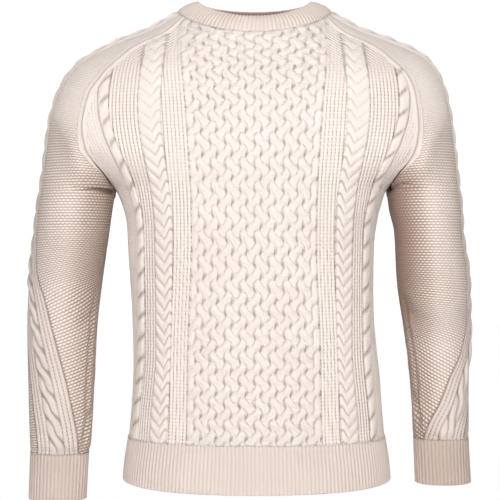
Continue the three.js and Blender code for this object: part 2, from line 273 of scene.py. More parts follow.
# How many crossings of the lattice lie above each height
CROSSINGS = Table(
    "row",
    [
        [20, -3.2],
        [-55, 0],
        [-104, 2],
        [-162.4, 4],
        [-227.8, 6],
        [-292.9, 8],
        [-360.7, 10],
        [-427.8, 12],
        [-491.5, 14],
        [-553.5, 16],
        [-620, 18.15],
    ],
)
LATTICE_PAIRS = 4.5
LATTICE_SWAY = 0.75
LATTICE_LIFT = 0.3
MARK_PLACE = 0.05  # the painted shade in the gap beside each upper strand: its place, bow, lean, width and height
MARK_BOW = 1.6
MARK_LEAN = 0.25
MARK_WIDE = 0.042
MARK_TALL = 0.18
# how dark the painted shade in that gap is
MARK_DARK = 0.65
STRAND_HALF = 0.41  # half a strand's width, as a share of a pair
EDGE_HALF = 0.27
LINK_PITCH = 30.2  # the side cables' links: their pitch, first phase, and their joints' slant in pitches
LINK_START = -0.2
LINK_SLANT = 0.45
# how dark the painted shade in the joints between the links is
LINK_DARK = 0.9
CHEVRON_PITCH = 16.3
V_FOOT = 0.42  # where the two arms of a chevron's strand meet, and how many pitches each rises
INNER_RISE = 1.3
OUTER_RISE = 0.95
LOBE_EDGE = 0.2  # the rounded end of a strand's inner arm: its share of the width, and its fall in pitches
LOBE_TURN = 0.6
GAP_DARK = (0.28, 0.72)  # how dark the painted shade in the gaps between the strands is, in the outer arm and in the inner one
YOKE_LEVELS = (-150, -215)  # above them the chevrons are soft
YOKE_SHARE = 0.6
SLEEVE_ROPE_PITCH = 31
SLEEVE_ROPE_HALF = 11
SLEEVE_RIBS = 3
SLEEVE_RIB_PITCH = 6.8
RIB_PITCH = 5.4
SIDE_RIB_PITCH = 5.4
WOOL_FINISH = {
    "Roughness": 0.92,
    "Specular IOR Level": 0.25,
    "Sheen Weight": 0.1,
    "Sheen Roughness": 0.5,
    "Sheen Tint": (1, 0.93, 0.89, 1),
}
# Columns of points round each piece, and rows down it
SLEEVE_ACROSS = 290
SLEEVE_DOWN = 310
HEM_COLUMNS = 620
CUFF_COLUMNS = 381
NECKBAND_COLUMNS = 841
CUFF_ROWS = 22
BAND_ROWS = 20
STITCH_WIDE = 3.1
STITCH_TALL = 2.4
MOSS_WIDE = 3.1
MOSS_TALL = 4.0
FAN_MOST = 0.4
# between these levels painted shade comes in on a sleeve's ribs and rope, full towards the cuff
SLEEVE_SHADE_LEVELS = (-150, -420)
FAN_LEVELS = (-300, -400)  # between them a sleeve's rows begin to turn with its rope
CAP_LEVELS = (-80, -190)  # between them a sleeve's plain knit becomes moss stitch


def smooth(low, high, value):
    t = np.clip((value - low) / (high - low), 0, 1)
    return t * t * (3 - 2 * t)


def wrap(value):
    return value - np.round(value)


def lobe(offset):
    return np.sqrt(np.clip(1 - offset * offset, 0, 1))


def length_of(vectors):
    return np.linalg.norm(vectors, axis=-1)


def ring_point(ring, angle):
    s = np.sin(angle)
    c = np.cos(angle)
    power = ring["square"]
    reach = (np.abs(s) ** power + np.abs(c) ** power) ** (-1 / power)
    depth = np.abs(c) * reach
    sink = np.where(c > 0, ring["front_drop"], ring["back_drop"]) * depth**DROP_POWER
    x = ring["shift"] + ring["width"] * s * reach
    y = np.where(c > 0, -ring["front"], ring["back"]) * depth
    return np.stack(np.broadcast_arrays(x, y, ring["level"] - sink), axis=-1)


def seam_angle(level):
    ring = BODY(level)
    share = np.minimum(ring["seam"] / ring["width"], 1)
    return np.arctan2(share, (1 - share ** ring["square"]) ** (1 / ring["square"]))


def leaving_direction(level, side, front):
    ring = BODY(level)
    angle = seam_angle(level)
    facing = -1 if front else 1

    def at(a):
        return ring_point(ring, side * (a if front else math.pi - a))

    along = at(angle + TINY) - at(angle - TINY)
    along = along / length_of(along)[..., None]
    turn = np.radians(ring["fold"])
    plan = np.arctan2(-along[..., 1] * facing, along[..., 0] * side) - turn
    flat = np.hypot(along[..., 0], along[..., 1])
    rise = along[..., 2] * (1 - turn / math.pi)
    return np.stack([side * np.cos(plan) * flat, -facing * np.sin(plan) * flat, rise], axis=-1)


def arm_blend(level):
    return smooth(0, ARM_BLEND[0] - ARM_BLEND[1], ARM_BLEND[0] - level)


def sleeve_stations(sleeve, level):
    """The five points that each ring of a sleeve runs through, from the front seam to the back one."""
    side = sleeve["side"]
    ring = sleeve["rings"](level)
    body = BODY(level)
    outside = np.stack([side * ring["outer"], ring["lean"], level], axis=-1)
    middle = side * (ring["outer"] + ring["inner"]) / 2
    underarm = np.stack([side * (ring["inner"] + FOLD_GAP), ring["lean"], level], axis=-1)
    angle = seam_angle(level)
    halfway = (angle + math.pi / 2) / 2
    blend = arm_blend(level)[..., None]
    low = (level <= ARMPIT_LEVEL)[..., None]

    def quarter(front):
        def turn(a):
            return side * (a if front else math.pi - a)

        reach = ring["lean"] + (-ring["front"] if front else ring["back"])
        seam = ring_point(body, turn(angle))
        seam[..., 0] += side * FOLD_GAP * body["fold"] / 180
        edge = ring_point(body, turn(math.pi / 2))
        shoulder = ring_point(body, turn(halfway))
        shoulder[..., 0] += (outside[..., 0] - edge[..., 0]) / 2
        arm = np.stack([middle, reach, (level * 3 + seam[..., 2]) / 4], axis=-1)
        tube = np.stack([middle, reach, level], axis=-1)
        between = shoulder + (arm - shoulder) * blend
        return np.where(low, underarm, seam), np.where(low, tube, between)

    front_seam, front_between = quarter(True)
    back_seam, back_between = quarter(False)
    return [front_seam, front_between, outside, back_between, back_seam]


def sleeve_rows(sleeve, level, around):
    """Points of a sleeve, a row for each level and a column for each share of the way round."""
    level = np.asarray(level, float)
    stations = sleeve_stations(sleeve, level)
    body = BODY(level)
    blend = arm_blend(level)
    low = (level <= ARMPIT_LEVEL)[..., None]
    tangents = []
    for i in range(SECTIONS + 1):
        if 0 < i < SECTIONS:
            into = stations[i] - stations[i - 1]
            out = stations[i + 1] - stations[i]
            cosine = np.sum(into * out, axis=-1) / (length_of(into) * length_of(out))
            bend = np.maximum(np.arccos(np.clip(cosine, -1, 1)), TINY)
            yoke = 2 * np.tan(bend / 4) / np.sin(bend)
            tangents.append((into + out) * (yoke + (QUARTER_TANGENT - yoke) * blend)[..., None])
            continue
        front = i == 0
        chord = length_of(stations[i] - stations[1 if front else SECTIONS - 1])
        share = SEAM_TANGENT[0] + (SEAM_TANGENT[1] - SEAM_TANGENT[0]) * body["fold"] / 180
        leaving = leaving_direction(level, sleeve["side"], front) * (chord * share)[..., None]
        reach = stations[1][..., 1] - stations[3][..., 1]
        tube = np.stack([reach * 0, reach * QUARTER_TANGENT, reach * 0], axis=-1)
        tangents.append(np.where(low, tube, leaving if front else -leaving))
    stations = np.stack(stations)
    tangents = np.stack(tangents)
    place = np.clip(np.asarray(around, float), 0, 1) * SECTIONS
    i = np.minimum(place.astype(int), SECTIONS - 1)
    t = (place - i)[:, None, None]
    points = stations[i] + (stations[i + 1] - stations[i]) * t * t * (3 - 2 * t)
    points = points + tangents[i] * t * (1 - t) ** 2 - tangents[i + 1] * t * t * (1 - t)
    return points.transpose(1, 0, 2)


def panel_rows(front, level, place):
    """Points of the front or back: rows for levels, columns for places from the wearer's right."""
    level = np.asarray(level, float)
    seam = np.where(level > ARMPIT_LEVEL, seam_angle(level), math.pi / 2)[:, None]
    even = np.radians(SPREAD(level)["angle"])[:, None]
    across = 2 * np.asarray(place, float)[None, :] - 1
    angle = across * (even + (seam - even) * np.abs(across) ** SEAM_REACH)
    ring = {name: value[:, None] for name, value in BODY(level).items()}
    return ring_point(ring, angle if front else math.pi - angle)


def even_levels(line, top, bottom, count):
    """Levels from top to bottom whose points on a line down the cloth lie equally far apart."""
    tries = np.linspace(top, bottom, 900)
    points = line(tries)
    run = np.concatenate([[0], np.cumsum(length_of(np.diff(points, axis=0)))])
    return np.interp(np.linspace(0, run[-1], count), run, tries)


def run_along(points, axis):
    """How far each point lies along its row or column."""
    step = length_of(np.diff(points, axis=axis))
    return np.insert(np.cumsum(step, axis=axis), 0, 0, axis=axis)


def outward(points):
    """Normals of a sheet of rows and columns of points, away from the middle of its rows."""
    normal = np.cross(np.gradient(points, axis=0), np.gradient(points, axis=1))
    normal = normal / np.maximum(length_of(normal), 1e-9)[..., None]
    away = points - points.mean(axis=1, keepdims=True)
    return normal if np.sum(normal * away) > 0 else -normal


def blur(field, down, across):
    """The mean of each value's neighbours within so many rows and columns."""
    for axis, reach in ((0, down), (1, across)):
        padded = np.pad(field, [(reach + 1, reach) if a == axis else (0, 0) for a in (0, 1)], mode="edge")
        total = np.cumsum(padded, axis=axis)
        width = 2 * reach + 1
        if axis == 0:
            field = (total[width:] - total[:-width]) / width
        else:
            field = (total[:, width:] - total[:, :-width]) / width
    return field


class Stitches:
    """Height, purl and moss shares, stitch coordinates and painted shade over a sheet of cloth, filled zone by
    zone.
    """

    def __init__(self, shape):
        self.height = np.zeros(shape)
        self.purl = np.zeros(shape)
        self.moss = np.zeros(shape)
        self.across = np.zeros(shape)
        self.along = np.zeros(shape)
        self.shade = np.zeros(shape)
        self.deep = np.ones(shape)
        self.strand = np.zeros(shape)
        self.lines = np.zeros(shape)
        self.weave = np.zeros((*shape, 3))

    def put(self, where, height, across=None, along=None, purl=0.0, moss=0.0, shade=0.0, deep=1.0):
        self.height = np.where(where, height, self.height)
        self.shade = np.where(where, shade, self.shade)
        self.deep = np.where(where, deep, self.deep)
        self.purl = np.where(where, purl, self.purl)
        self.moss = np.where(where, moss, self.moss)
        if across is not None:
            self.across = np.where(where, across, self.across)
        if along is not None:
            self.along = np.where(where, along, self.along)


def lattice(pair, row, tall):
    """A plain weave of two families of strands, over and under each other in turn. Returns the height, the
    offset from the middle of the upper strand, and where the straight strand at the lattice's edge lies."""
    slide = 0.5 + row + LATTICE_SWAY * np.sin(4 * math.pi * row) / (4 * math.pi)
    lift = LATTICE_LIFT * np.cos(2 * math.pi * row)
    falling = wrap(pair - slide)
    rising = wrap(pair + slide)
    upper = (1 + lift) * lobe(falling / (STRAND_HALF + 0.1 * lift))
    lower = (1 - lift) * lobe(rising / (STRAND_HALF - 0.1 * lift))
    offset = np.where(upper > lower, falling, rising)
    height = np.maximum(upper, lower)
    edge = (np.abs(pair) > LATTICE_PAIRS - 0.5) & (np.abs(wrap(row)) < 0.25)
    straight = np.abs(pair) - LATTICE_PAIRS + 0.25
    height = np.where(edge, 0.9 * lobe(straight / EDGE_HALF), height)
    return tall * height, np.where(edge, straight, offset), edge


def rope(across, turn, phase, tall):
    """A two-strand cable, 0 to 1 across. Each strand rises at one edge and dives under at the other."""
    height = np.zeros_like(across)
    offset = np.zeros_like(across)
    for k in (-1, 0, 1):
        f = wrap(phase) + k
        middle = 0.5 + turn * 0.25 * np.sin(math.pi * np.clip(f, -0.5, 0.5))
        rise = np.clip(0.35 + 0.65 * np.cos(math.pi * f / 1.5), 0, 1)
        strand = rise * lobe((across - middle) / 0.27)
        offset = np.where(strand > height, across - middle, offset)
        height = np.maximum(height, strand)
    return tall * height, offset


def chevron(across, phase, tall):
    """Strands that meet as nested Vs, and end as rounded lobes on the side of the lattice.
    Returns the height, the count of strands with its gaps at whole numbers, and how dark the painted shade in
    the gaps is."""
    across = np.clip(across, 0, 1)
    inner = INNER_RISE * np.clip(1 - across / V_FOOT, 0, 1) ** 1.1
    outer = OUTER_RISE * np.clip((across - V_FOOT) / (1 - V_FOOT), 0, 1)
    turned = LOBE_TURN * np.clip(1 - across / LOBE_EDGE, 0, 1) ** 2
    strand = phase + inner + outer - turned
    f = strand - np.floor(strand)
    rounded = 0.25 + 0.75 * np.sqrt(np.clip(4 * f * (1 - f), 0, 1)) * (1.1 - 0.25 * f)
    sides = np.sqrt(np.clip(1 - np.abs(2 * across - 1) ** 7, 0, 1))
    dark = GAP_DARK[0] + (GAP_DARK[1] - GAP_DARK[0]) * smooth(V_FOOT, 0.5 * V_FOOT, across)
    return tall * rounded * sides, strand, dark


def link(across, turn, phase, tall):
    """A narrow cable as a chain of links with slanting joints. Returns the same as chevron does."""
    across = np.clip(across, 0, 1)
    strand = phase + LINK_SLANT * turn * across
    f = strand - np.floor(strand)
    rounded = 0.35 + 0.65 * np.sqrt(np.clip(4 * f * (1 - f), 0, 1))
    sides = np.sqrt(np.clip(1 - np.abs(2 * across - 1) ** 3, 0, 1))
    return tall * rounded * sides, strand, LINK_DARK * smooth(1.0, 0.5, across)


def ribs(distance, pitch):
    """Raised ribs between purl grooves, the first groove at 0. Returns the height and the purl share."""
    d = 2 * np.abs(wrap(distance / pitch - 0.5))
    return 1 - d**3, smooth(0.62, 0.9, d)


def body_stitches(points, levels, sizes):
    x = points[..., 0]
    z = points[..., 2]
    run = run_along(points, 1)
    limits = COLUMNS(levels)
    names = COLUMNS.names
    reach = np.zeros_like(run)
    bounds = {name: np.zeros_like(run) for name in names}
    for i in range(len(levels)):
        middle = np.interp(PATTERN_MIDDLE, x[i], run[i])
        reach[i] = run[i] - middle
        for name in names:
            for side in (-1, 1):
                edge = PATTERN_MIDDLE + side * limits[name][i]
                end = x[i, -1] if side > 0 else x[i, 0]
                beyond = max(side * (edge - end), 0)
                distance = abs(np.interp(edge, x[i], run[i]) - middle) + beyond * 1.2
                on_side = reach[i] * side >= 0
                bounds[name][i, on_side] = distance
    far = np.abs(reach)
    cloth = Stitches(run.shape)
    rows = z / STITCH_TALL
    share = far / bounds["lattice"]
    pair = np.sign(reach) * share * LATTICE_PAIRS
    row = CROSSINGS(z)["row"]
    height, offset, edge = lattice(pair, row, sizes.lattice_height / MM)
    pair_width = bounds["lattice"] / LATTICE_PAIRS
    zone = far < bounds["lattice"]
    cloth.put(zone, height, offset * pair_width / STITCH_WIDE, rows, deep=0.5)
    cloth.weave = np.stack([pair, row, zone & ~edge], axis=-1)
    # the ribs' purl grooves get painted shade
    for first, last, dark in (("lattice", "ribs", 0.1), ("chevron", "more_ribs", 0.25)):
        inside = far - bounds[first]
        shape, groove = ribs(inside, RIB_PITCH)
        zone = (inside >= 0) & (far < bounds[last])
        raised = sizes.rib_height / MM * shape
        cloth.put(zone, raised, inside / STITCH_WIDE, rows, purl=groove, shade=dark * groove)
    width = bounds["chevron"] - bounds["ribs"]
    across = (far - bounds["ribs"]) / width
    zone = (across >= 0) & (across < 1)
    height, cloth.strand, gap = chevron(across, -z / CHEVRON_PITCH, sizes.chevron_height / MM)
    strong = YOKE_SHARE + (1 - YOKE_SHARE) * smooth(*YOKE_LEVELS, z)
    cloth.lines = np.where(zone, gap * strong, 0)
    # painted shade in a line along the chevrons' edge beside the ribs
    line = np.exp(-((across * width / LINE_REACH) ** 2))
    height = 0.5 * (1 - strong) * sizes.chevron_height / MM + height * strong
    place = (far - bounds["ribs"]) / STITCH_WIDE
    cloth.put(zone, height, place, rows, shade=0.3 * line * strong, deep=0.5)
    width = bounds["rope"] - bounds["more_ribs"]
    across = (far - bounds["more_ribs"]) / width
    zone = (across >= 0) & (across < 1)
    phase = LINK_START - z / LINK_PITCH
    height, strand, gap = link(across, np.sign(reach), phase, sizes.rope_height / MM)
    cloth.strand = np.where(2 * far > bounds["chevron"] + bounds["more_ribs"], strand, cloth.strand)
    cloth.lines = np.where(zone, gap, cloth.lines)
    # painted shade in a line along the link cable's inner edge
    line = np.exp(-((across * width / LINE_REACH) ** 2))
    place = (far - bounds["more_ribs"]) / STITCH_WIDE
    cloth.put(zone, 0.8 * height, place, rows, shade=0.5 * line, deep=0.6)
    inside = far - bounds["rope"]
    shape, groove = ribs(inside, SIDE_RIB_PITCH)
    raised = 0.6 * sizes.rib_height / MM * shape
    cloth.put(inside >= 0, raised, inside / STITCH_WIDE, rows, purl=0.7 * groove)
    side_gap = np.minimum(run, run[:, -1:] - run)
    beside = side_gap < 2.5 * STITCH_WIDE
    seam_rib = 0.75 + 0.25 * np.cos(2 * math.pi * side_gap / STITCH_WIDE)
    cloth.put(beside, sizes.rib_height / MM * seam_rib, side_gap / STITCH_WIDE, rows)
    cloth.shade = cloth.shade + SEAM_DARK * np.exp(-((side_gap / SEAM_DARK_REACH) ** 2))
    return cloth, side_gap


def sleeve_stitches(points, levels, sleeve, sizes):
    run = run_along(points, 1)
    places = np.linspace(0, 1, points.shape[1])
    centre = sleeve["rope"](levels)["around"]
    middle = np.array([np.interp(c, places, r) for c, r in zip(centre, run)])[:, None]
    far = run - middle
    down = run_along(points, 0)
    column = np.round(centre * (points.shape[1] - 1)).astype(int)
    spine = down[np.arange(len(levels)), column][:, None]
    front_line = np.array([np.interp(0.25, places, r) for r in run])
    drift = np.gradient(middle[:, 0] - front_line) / np.maximum(np.gradient(spine[:, 0]), TINY)
    drift = blur(np.clip(drift, -FAN_MOST, FAN_MOST)[:, None], 10, 0) * smooth(*FAN_LEVELS, levels)[:, None]
    along = spine + drift * far
    rows = along / STITCH_TALL
    cloth = Stitches(run.shape)
    everywhere = np.ones(run.shape, bool)
    mossy = smooth(*CAP_LEVELS, levels)[:, None] * everywhere
    # painted shade: the ribs and rope get more of it towards the cuff, the moss and the cap get their own
    painted_shade = SLEEVE_SHADE * smooth(*SLEEVE_SHADE_LEVELS, levels)[:, None] * everywhere
    shade = np.maximum(MOSS_SHADE * mossy, CAP_SHADE)
    raised = sizes.moss_height / MM
    cloth.put(everywhere, raised, far / MOSS_WIDE, along / MOSS_TALL, moss=mossy, shade=shade)
    side = np.abs(far) - SLEEVE_ROPE_HALF
    shape, groove = ribs(side, SLEEVE_RIB_PITCH)
    zone = (side >= 0) & (side < SLEEVE_RIBS * SLEEVE_RIB_PITCH)
    raised = sizes.rib_height / MM * shape
    cloth.put(zone, raised, side / STITCH_WIDE, rows, purl=0.7 * groove, shade=painted_shade)
    across = 0.5 + far / (2 * SLEEVE_ROPE_HALF)
    zone = np.abs(far) < SLEEVE_ROPE_HALF
    turn = sleeve["side"]
    height, offset = rope(across, turn, along / SLEEVE_ROPE_PITCH, sizes.rope_height / MM)
    cloth.put(zone, height, offset * 2 * SLEEVE_ROPE_HALF / STITCH_WIDE, rows, shade=painted_shade)
    side_gap = np.minimum(run, run[:, -1:] - run)
    beside = side_gap < 2.5 * STITCH_WIDE * smooth(-262, -200, levels)[:, None]
    plain = 0.8 + 0.2 * np.cos(2 * math.pi * side_gap / STITCH_WIDE)
    cloth.put(beside, sizes.rib_height / MM * plain, side_gap / STITCH_WIDE, rows, shade=CAP_SHADE)
    # painted shadow on the inner side of the sleeve, which faces the body: it comes in below the armpit and is
    # weaker on the forearm
    inner = np.minimum(places, 1 - places)[None, :]
    under = smooth(*UNDERARM_LEVELS, levels)[:, None]
    inner_shade = INNER_SHADE["right" if sleeve["side"] < 0 else "left"]
    upper_arm = smooth(*FOREARM_LEVELS, levels)[:, None]
    inner_shade = inner_shade * (FOREARM_SHARE + (1 - FOREARM_SHARE) * upper_arm)
    cloth.shade = cloth.shade + inner_shade * under * smooth(*INNER_REACH, inner)
    seam = SEAM_DARK * (1 - under) * np.exp(-((side_gap / SEAM_DARK_REACH) ** 2))
    # the groove where the ribs end gets painted shade
    rib_end = side - SLEEVE_RIBS * SLEEVE_RIB_PITCH
    cloth.shade = cloth.shade + seam + RIB_END_DARK * np.exp(-((rib_end / SEAM_DARK_REACH) ** 2))
    return cloth, side_gap


def crease_field(points, lines):
    """How far creases move each point, in or out, and how much painted shade those from the armpit get. A line
    is its own points on the cloth, its width, its depth and whether it starts at the armpit's seam."""
    field = np.zeros(points.shape[:2])
    dark = np.zeros(points.shape[:2])
    for path, width, depth, from_seam in lines:
        steps = length_of(np.diff(path, axis=0))
        run = np.concatenate([[0], np.cumsum(steps)])
        nearest = np.full(field.shape, 1e9)
        share = np.zeros(field.shape)
        for start, end, before, step in zip(path, path[1:], run, steps):
            way = (end - start) / step
            t = np.clip(np.sum((points - start) * way, axis=-1), 0, step)
            distance = length_of(points - start - way * t[..., None])
            closer = distance < nearest
            nearest = np.where(closer, distance, nearest)
            share = np.where(closer, (before + t) / run[-1], share)
        taper = np.sqrt(np.clip(np.sin(math.pi * np.clip(share, 0.02, 0.98)), 0, 1))
        if from_seam:
            taper = (1 - share) ** 0.5
        trough = np.exp(-((nearest / width) ** 2))
        lips = np.exp(-(((nearest - 1.9 * width) / width) ** 2))
        field += depth * taper * (0.35 * lips - trough)
        if from_seam:
            dark += CREASE_DARK * taper * np.exp(-((nearest / (0.6 * width)) ** 2))
    return field, dark


# The creases of each sleeve as lines of (level, share of the way round), with their width and depth, and
# whether they start at the armpit.
SLEEVE_CREASES = {
    "right": [
        ([(-258, 0.015), (-258, 0.07), (-257, 0.12), (-255, 0.17), (-254, 0.25)], 3.6, 6, True),
        ([(-252, 0.985), (-256, 0.92), (-262, 0.84)], 4.5, 5, True),
        ([(-566, 0.03), (-580, 0.06), (-601, 0.09), (-619, 0.10)], 5, 3, False),
        ([(-440, 0.90), (-470, 0.84), (-480, 0.74)], 9, 3, False),
        ([(-500, 0.95), (-525, 0.90), (-552, 0.80)], 8, 2.5, False),
        ([(-420, 0.04), (-440, 0.10), (-452, 0.17)], 9, 1.8, False),
        ([(-400, 0.070), (-440, 0.072), (-490, 0.078), (-554, 0.083), (-612, 0.08)], 4.5, 2.6, False),
    ],
    "left": [
        ([(-256, 0.015), (-253, 0.06), (-249, 0.11), (-246, 0.17)], 3.6, 5.5, True),
        ([(-252, 0.985), (-257, 0.91), (-261, 0.83)], 4.5, 5, True),
        ([(-540, 0.03), (-556, 0.06), (-575, 0.09), (-596, 0.10)], 5, 3, False),
        ([(-430, 0.92), (-458, 0.85), (-470, 0.76)], 9, 3, False),
        ([(-490, 0.96), (-512, 0.90), (-541, 0.81)], 8, 2.5, False),
        ([(-408, 0.04), (-430, 0.10), (-446, 0.18)], 9, 1.8, False),
        ([(-400, 0.060), (-440, 0.065), (-490, 0.078), (-554, 0.083), (-600, 0.08)], 4.5, 2.6, False),
    ],
}


def seam_relief(cloth, side_gap, end_gap, width, level_height):
    """The relief about the plain cloth, fading to a dip along the side seams and a lip at the bands."""
    side = smooth(0, width, side_gap)
    end = smooth(0, width, end_gap * 1.3)
    return (cloth.height - level_height) * side * end - SIDE_SINK * (1 - side) - BAND_SINK * (1 - end)


def knit_shell(name, outer, inner, cloth, inner_rows, closed):
    """A closed thin shell: a grid down the outside, round the lower edge, up the inside and back."""
    rows = np.concatenate([outer, inner[::-1], outer[:1]])
    high, wide = rows.shape[:2]
    order = np.concatenate([np.arange(len(outer)), inner_rows[::-1], [0]])
    bm = bmesh.new()
    bmesh.ops.create_grid(bm, x_segments=wide - 1, y_segments=high - 1, size=0.5)
    mesh = bpy.data.meshes.new(name)
    bm.to_mesh(mesh)
    bm.free()
    mesh.vertices.foreach_set("co", (rows * MM).astype(np.float32).ravel())
    # painted shade: darker in the relief's hollows, plus each zone's own painted shade, and more on the inside
    depth = blur(cloth.height, *HOLLOW_REACH) - cloth.height
    hollow = cloth.deep * smooth(*HOLLOW_DEPTHS, depth) + cloth.shade
    hollow = np.concatenate([hollow, hollow[inner_rows[::-1]] + INSIDE_SHADE, hollow[:1]])
    fields = {label: getattr(cloth, label)[order] for label in ("purl", "moss", "strand", "lines")}
    for label, field in (("hollow", hollow), *fields.items()):
        values = mesh.attributes.new(label, "FLOAT", "POINT").data
        values.foreach_set("value", field.astype(np.float32).ravel())
    weave = mesh.attributes.new("weave", "FLOAT_VECTOR", "POINT").data
    weave.foreach_set("vector", cloth.weave[order].astype(np.float32).ravel())
    corner = np.empty(len(mesh.loops), np.int32)
    mesh.loops.foreach_get("vertex_index", corner)
    stitch = np.stack([cloth.across[order], cloth.along[order]], axis=-1).reshape(-1, 2)
    layer = mesh.uv_layers.new(name="stitches")
    layer.data.foreach_set("uv", stitch[corner].astype(np.float32).ravel())
    bm = bmesh.new()
    bm.from_mesh(mesh)
    bm.verts.ensure_lookup_table()
    grid = [[bm.verts[i * wide + j] for j in range(wide)] for i in range(high)]
    joins = {grid[-1][j]: grid[0][j] for j in range(wide)}
    if closed:
        joins.update({grid[i][-1]: grid[i][0] for i in range(high - 1)})
        joins[grid[-1][-1]] = grid[0][0]
    bmesh.ops.weld_verts(bm, targetmap=joins)
    if not closed:
        for j in (0, wide - 1):
            column = [grid[i][j] for i in range(high - 1)]
            edges = [bm.edges.get(pair) for pair in zip(column, column[1:])]
            bmesh.ops.bridge_loops(bm, edges=edges[: len(outer) - 1] + edges[len(outer) :])
    bmesh.ops.recalc_face_normals(bm, faces=bm.faces)
    bm.to_mesh(mesh)
    bm.free()
    mesh.shade_smooth()
    piece = bpy.data.objects.new(name, mesh)
    bpy.context.collection.objects.link(piece)
    return piece


def declare(piece, node, material):
    piece.data.materials.append(material)
    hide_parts(node)
    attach(piece, "root")


class NodeDesk:
    """Places nodes in a tree and links them."""

    def __init__(self, tree):
        self.tree = tree

    def add(self, kind, **settings):
        node = self.tree.nodes.new(kind)
        for key, value in settings.items():
            setattr(node, key, value)
        return node

    def link(self, source, target):
        self.tree.links.new(source, target)

    def math(self, operation, *inputs, clamp=False):
        node = self.add("ShaderNodeMath", operation=operation, use_clamp=clamp)
        for socket, value in zip(node.inputs, inputs):
            if isinstance(value, (int, float)):
                socket.default_value = value
            else:
                self.link(value, socket)
        return node.outputs[0]

    def wrap(self, value):
        return self.math("SUBTRACT", value, self.math("ROUND", value))

    def mix(self, share, first, second, kind="RGBA"):
        node = self.add("ShaderNodeMix", data_type=kind)
        at = {"FLOAT": (0, 2, 3, 0), "RGBA": (0, 6, 7, 2)}[kind]
        for index, value in zip(at, (share, first, second)):
            socket = node.inputs[index]
            if isinstance(value, (int, float, tuple)):
                socket.default_value = value
            else:
                self.link(value, socket)
        return node.outputs[at[3]]


